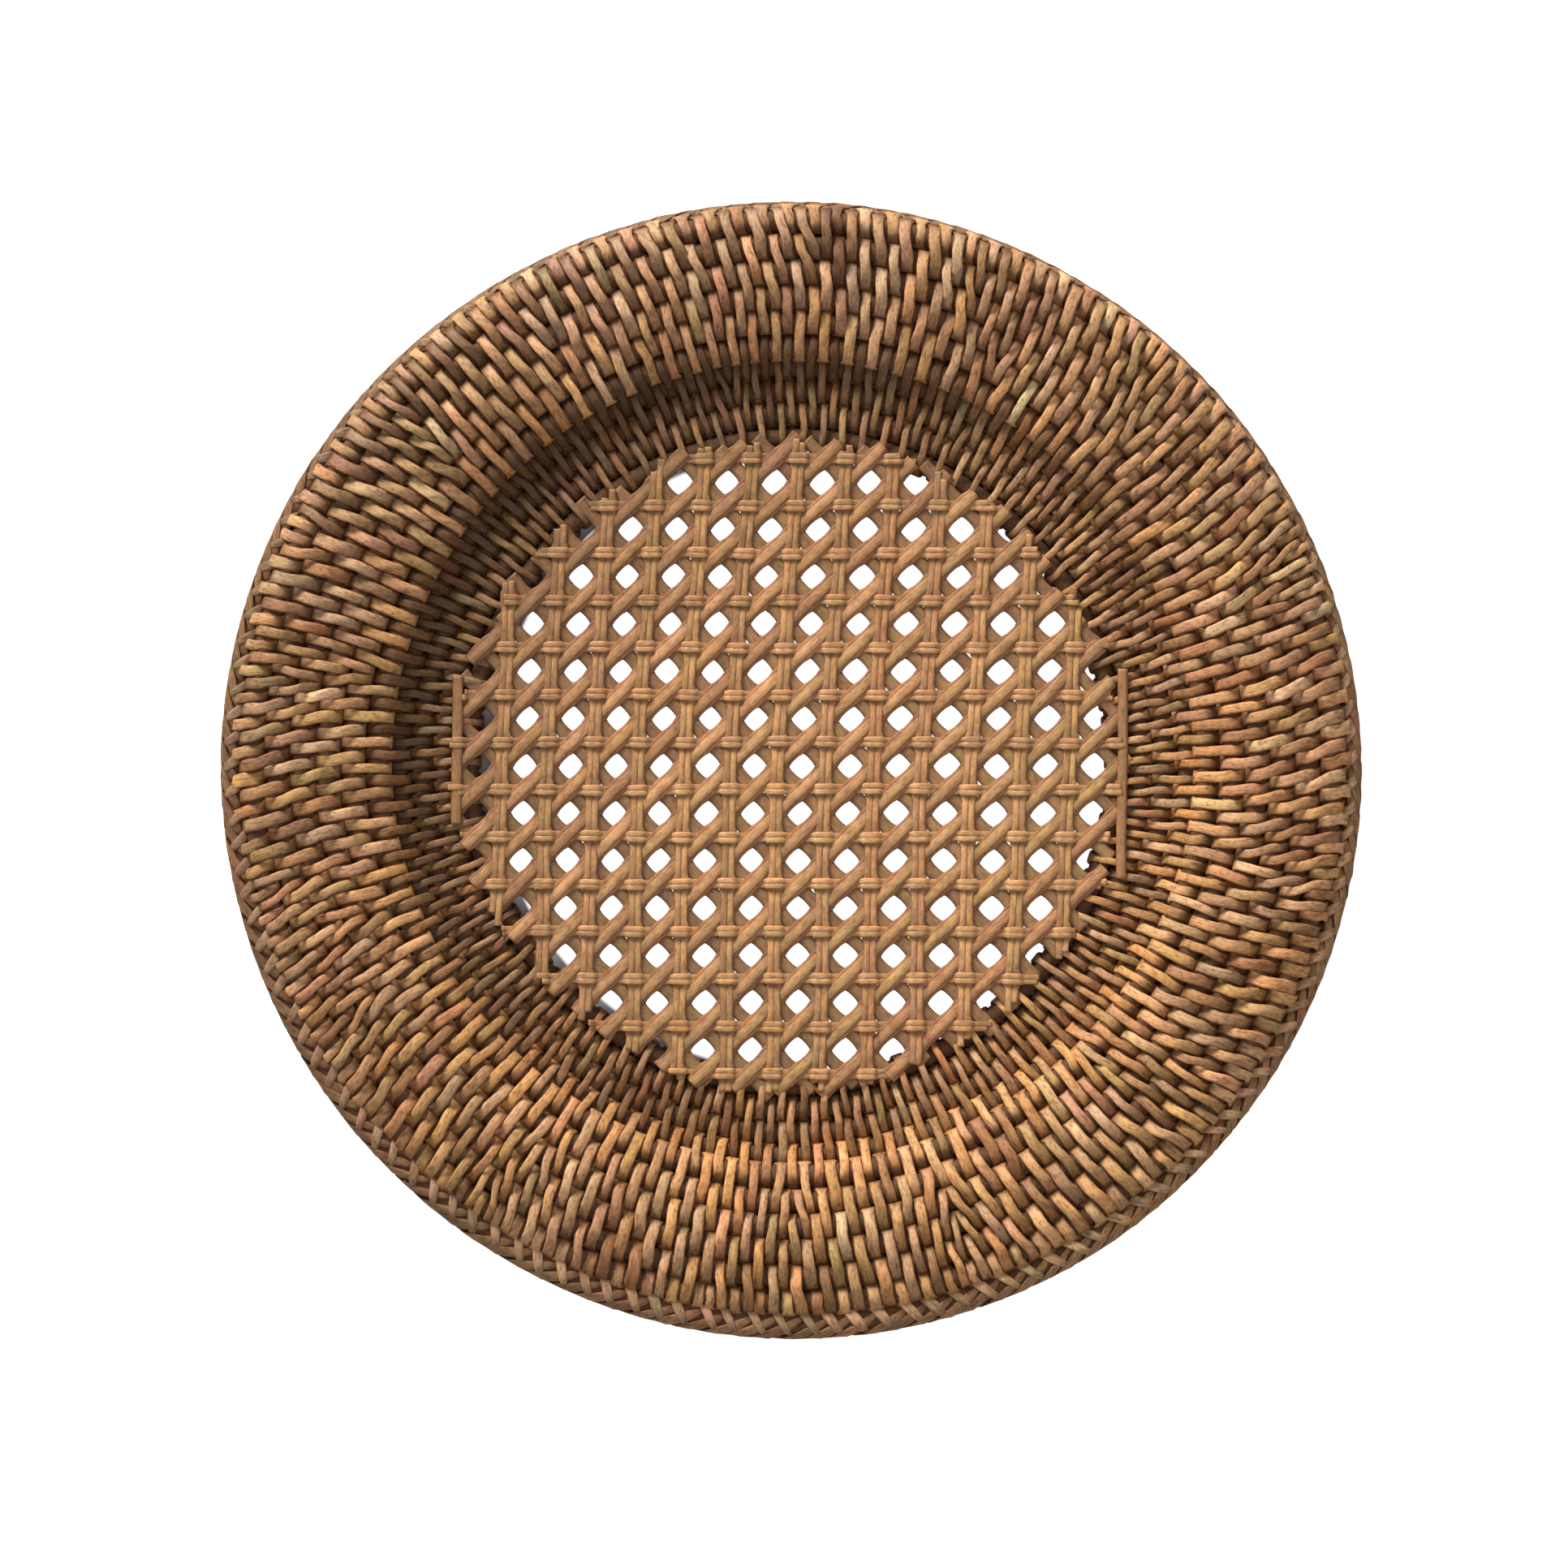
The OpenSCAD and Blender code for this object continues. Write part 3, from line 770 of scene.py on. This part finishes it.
def plaitLeaves(name, leaf, phase):
    # each leaf goes evenly round the bar and along it, with its width and its lift above the bar as
    # powers of the sine of its share of the way
    count, steps = border["count"], border["steps"]
    share = np.linspace(0, 1, steps)
    crown = np.sin(np.pi * share)
    sweep = leaf["to"] - leaf["from"]
    around = np.radians(leaf["from"] + sweep * share)[None]
    around = around + draw.normal(0, border["turnScatter"], (count, 1))
    start = (np.arange(count) + phase + draw.normal(0, border["placeScatter"], count)) * circle / count
    arc = np.abs(np.radians(sweep)) * (border["halfWidth"] + border["halfHeight"]) / 2
    shift = arc * np.tan(np.radians(leaf["lean"])) / border["plaitR"]
    angle = start[:, None] + shift * (share - 0.5)[None]
    lift = leaf["lift"] * crown ** border["liftPower"] - border["sink"]
    line, up = borderAt(angle, around, np.broadcast_to(lift, angle.shape))
    forward = np.gradient(line, axis=1)
    forward /= np.linalg.norm(forward, axis=2, keepdims=True)
    side = np.cross(forward, up)
    side /= np.linalg.norm(side, axis=2, keepdims=True)
    width = leaf["width"] * (border["endWidth"] + (1 - border["endWidth"]) * crown ** border["widthPower"])
    width = width * draw.normal(1, border["widthScatter"], (count, 1))
    thickness = np.full((count, steps), border["thickness"])
    ribbon, faces = sweepRibbons(line, side, up, width, thickness, wrapSection, False)
    tint = scatterTint(np.array(leaf["tint"]), count, border["shadeScatter"], border["hueScatter"])
    # painted shade round the border
    tint = tint * border["shade"] * swingRound(start, border["paintedShadeSwing"], border["paintedLightToward"])[:, None]
    addPiece(name, ribbon, faces, edgePeel, ["edge_lashing"], {
        "strip": stripField(line, wrapSection, width),
        "tint": tint.clip(*border["tintRange"])[:, None, None],
        "shadeAndStain": (border["shadeAndStain"] * (1 - crown) ** 2)[None, :, None],
        "edgeShadeShare": border["edgeShadeShare"],
    })


def addBorderCore():
    # a bar on the border's section, drawn in by what its share leaves of the half width
    rows, ring = border["coreSteps"]
    angle, around = np.meshgrid(np.linspace(0, circle, rows, endpoint=False),
                                np.linspace(0, -circle, ring, endpoint=False), indexing="ij")
    points, _ = borderAt(angle, around, -(1 - border["coreShare"]) * border["halfWidth"])
    addPiece("borderCore", points[None], gridQuads(rows, ring, True), edgeCore,
             ["edge_hoop"], {})


addBorderCore()
plaitLeaves("plaitInnerStrips", border["innerLeaf"], 0.0)
plaitLeaves("plaitOuterStrips", border["outerLeaf"], 0.5)
print("border plaited")


# Stage: pale floor, soft key from the back left, and a white surround
stage = {
    "floorSize": 6.0, "floorColour": (0.86, 0.86, 0.86), "floorRoughness": 0.9,
    "panelGlow": 0.95, "aroundGlow": 0.86,    # what the camera sees of the floor's own light
    "rimFrom": 91.5 * mm, "rimTo": 165 * mm,  # under the rim the floor doesn't glow
    "panelFade": 1.0 * mm, "rimFade": 14 * mm,
    "panelCentre": (3.5 * mm, 0, 0), "rimCentre": (0, -2.6 * mm, 0),
    "keyDirection": (-0.46, 0.89, 0.37), "keyDistance": 2.5, "keySize": 1.1, "keyPower": 98,
    "topDirection": (0.1, -0.3, 1.0), "topDistance": 2.0, "topSize": 1.6, "topPower": 6,
    "worldStrength": 0.25,
    "cameraX": -2.5 * mm, "cameraY": -6.5 * mm, "cameraZ": 3.0,
    "sensorWidth": 36, "clipEnd": 20,
    "frameWidth": 454.5 * mm,  # what the photograph's width spans at the rim's height
    "rimHeight": 15 * mm,
}
white = (1, 1, 1, 1)


def addArea(name, direction, distance, size, power):
    # a round lamp so far off in that direction, which looks at the origin
    lamp = bpy.data.lights.new(name, "AREA")
    lamp.shape, lamp.size, lamp.energy = "DISK", size, power
    holder = bpy.data.objects.new(name, lamp)
    place = Vector(direction).normalized() * distance
    holder.location = place
    holder.rotation_euler = (-place).to_track_quat("-Z", "Y").to_euler()
    bpy.context.scene.collection.objects.link(holder)


def addGlow(tree, place, centre, fromR, toR, fromGlow, toGlow):
    # passes evenly from one glow to the other between two distances from the centre
    away = addNode(tree, "VectorMath", [(0, place)], operation="DISTANCE")
    away.inputs[1].default_value = centre
    return addNode(tree, "MapRange", [("Value", away.outputs["Value"])], From_Min=fromR, From_Max=toR,
                   To_Min=fromGlow, To_Max=toGlow).outputs["Result"]


def makeFloorMaterial():
    # pale and matt; the camera alone also sees its glow, through the panel and round the plate
    material, tree, shader = newMaterial("paleFloor")
    shader.inputs["Base Color"].default_value = (*stage["floorColour"], 1)
    shader.inputs["Roughness"].default_value = stage["floorRoughness"]
    shader.inputs["Specular IOR Level"].default_value = 0.0
    shader.inputs["Emission Color"].default_value = white
    byCamera = addNode(tree, "LightPath").outputs["Is Camera Ray"]
    place = addNode(tree, "TexCoord").outputs["Object"]
    inside = addGlow(tree, place, stage["panelCentre"], stage["rimFrom"] - stage["panelFade"],
                     stage["rimFrom"], stage["panelGlow"], 0.0)
    outside = addGlow(tree, place, stage["rimCentre"], stage["rimTo"] - stage["rimFade"],
                      stage["rimTo"], 0.0, stage["aroundGlow"])
    glow = addNode(tree, "Math", [(0, inside), (1, outside)], operation="ADD").outputs["Value"]
    seen = addNode(tree, "Math", [(0, byCamera), (1, glow)], operation="MULTIPLY").outputs["Value"]
    tree.links.new(seen, shader.inputs["Emission Strength"])
    return material


def makeStageFloor():
    # one square face at the height that the plate stands on
    mesh = bpy.data.meshes.new("stageFloor")
    half = stage["floorSize"] / 2
    corners = [(x * half, y * half, 0) for x, y in ((-1, -1), (1, -1), (1, 1), (-1, 1))]
    mesh.from_pydata(corners, [], [(0, 1, 2, 3)])
    mesh.materials.append(makeFloorMaterial())
    floor = bpy.data.objects.new("stageFloor", mesh)
    bpy.context.scene.collection.objects.link(floor)


def lightWorld():
    # white for the camera and in reflections, and dimmer as a light
    world = bpy.data.worlds.new("surround")
    bpy.context.scene.world = world
    world.use_nodes = True
    tree = world.node_tree
    path = addNode(tree, "LightPath").outputs
    seen = addNode(tree, "Math", [(0, path["Is Camera Ray"]), (1, path["Is Glossy Ray"])],
                   operation="MAXIMUM").outputs["Value"]
    strength = addNode(tree, "MapRange", [("Value", seen)], To_Min=stage["worldStrength"], To_Max=1.0)
    tree.links.new(strength.outputs["Result"], tree.nodes["Background"].inputs["Strength"])
    tree.nodes["Background"].inputs["Color"].default_value = white


def placeCamera():
    # straight down, with the lens that spans the frame's width at the rim's height
    camera = bpy.data.cameras.new("camera")
    camera.sensor_width = stage["sensorWidth"]
    camera.lens = camera.sensor_width * (stage["cameraZ"] - stage["rimHeight"]) / stage["frameWidth"]
    camera.clip_end = stage["clipEnd"]
    holder = bpy.data.objects.new("camera", camera)
    holder.location = (stage["cameraX"], stage["cameraY"], stage["cameraZ"])
    bpy.context.scene.collection.objects.link(holder)
    bpy.context.scene.camera = holder


makeStageFloor()
lightWorld()
for name in ("key", "top"):
    addArea(name, *(stage[name + part] for part in ("Direction", "Distance", "Size", "Power")))
placeCamera()
bpy.context.scene.view_settings.view_transform = "Standard"

print("stage set")
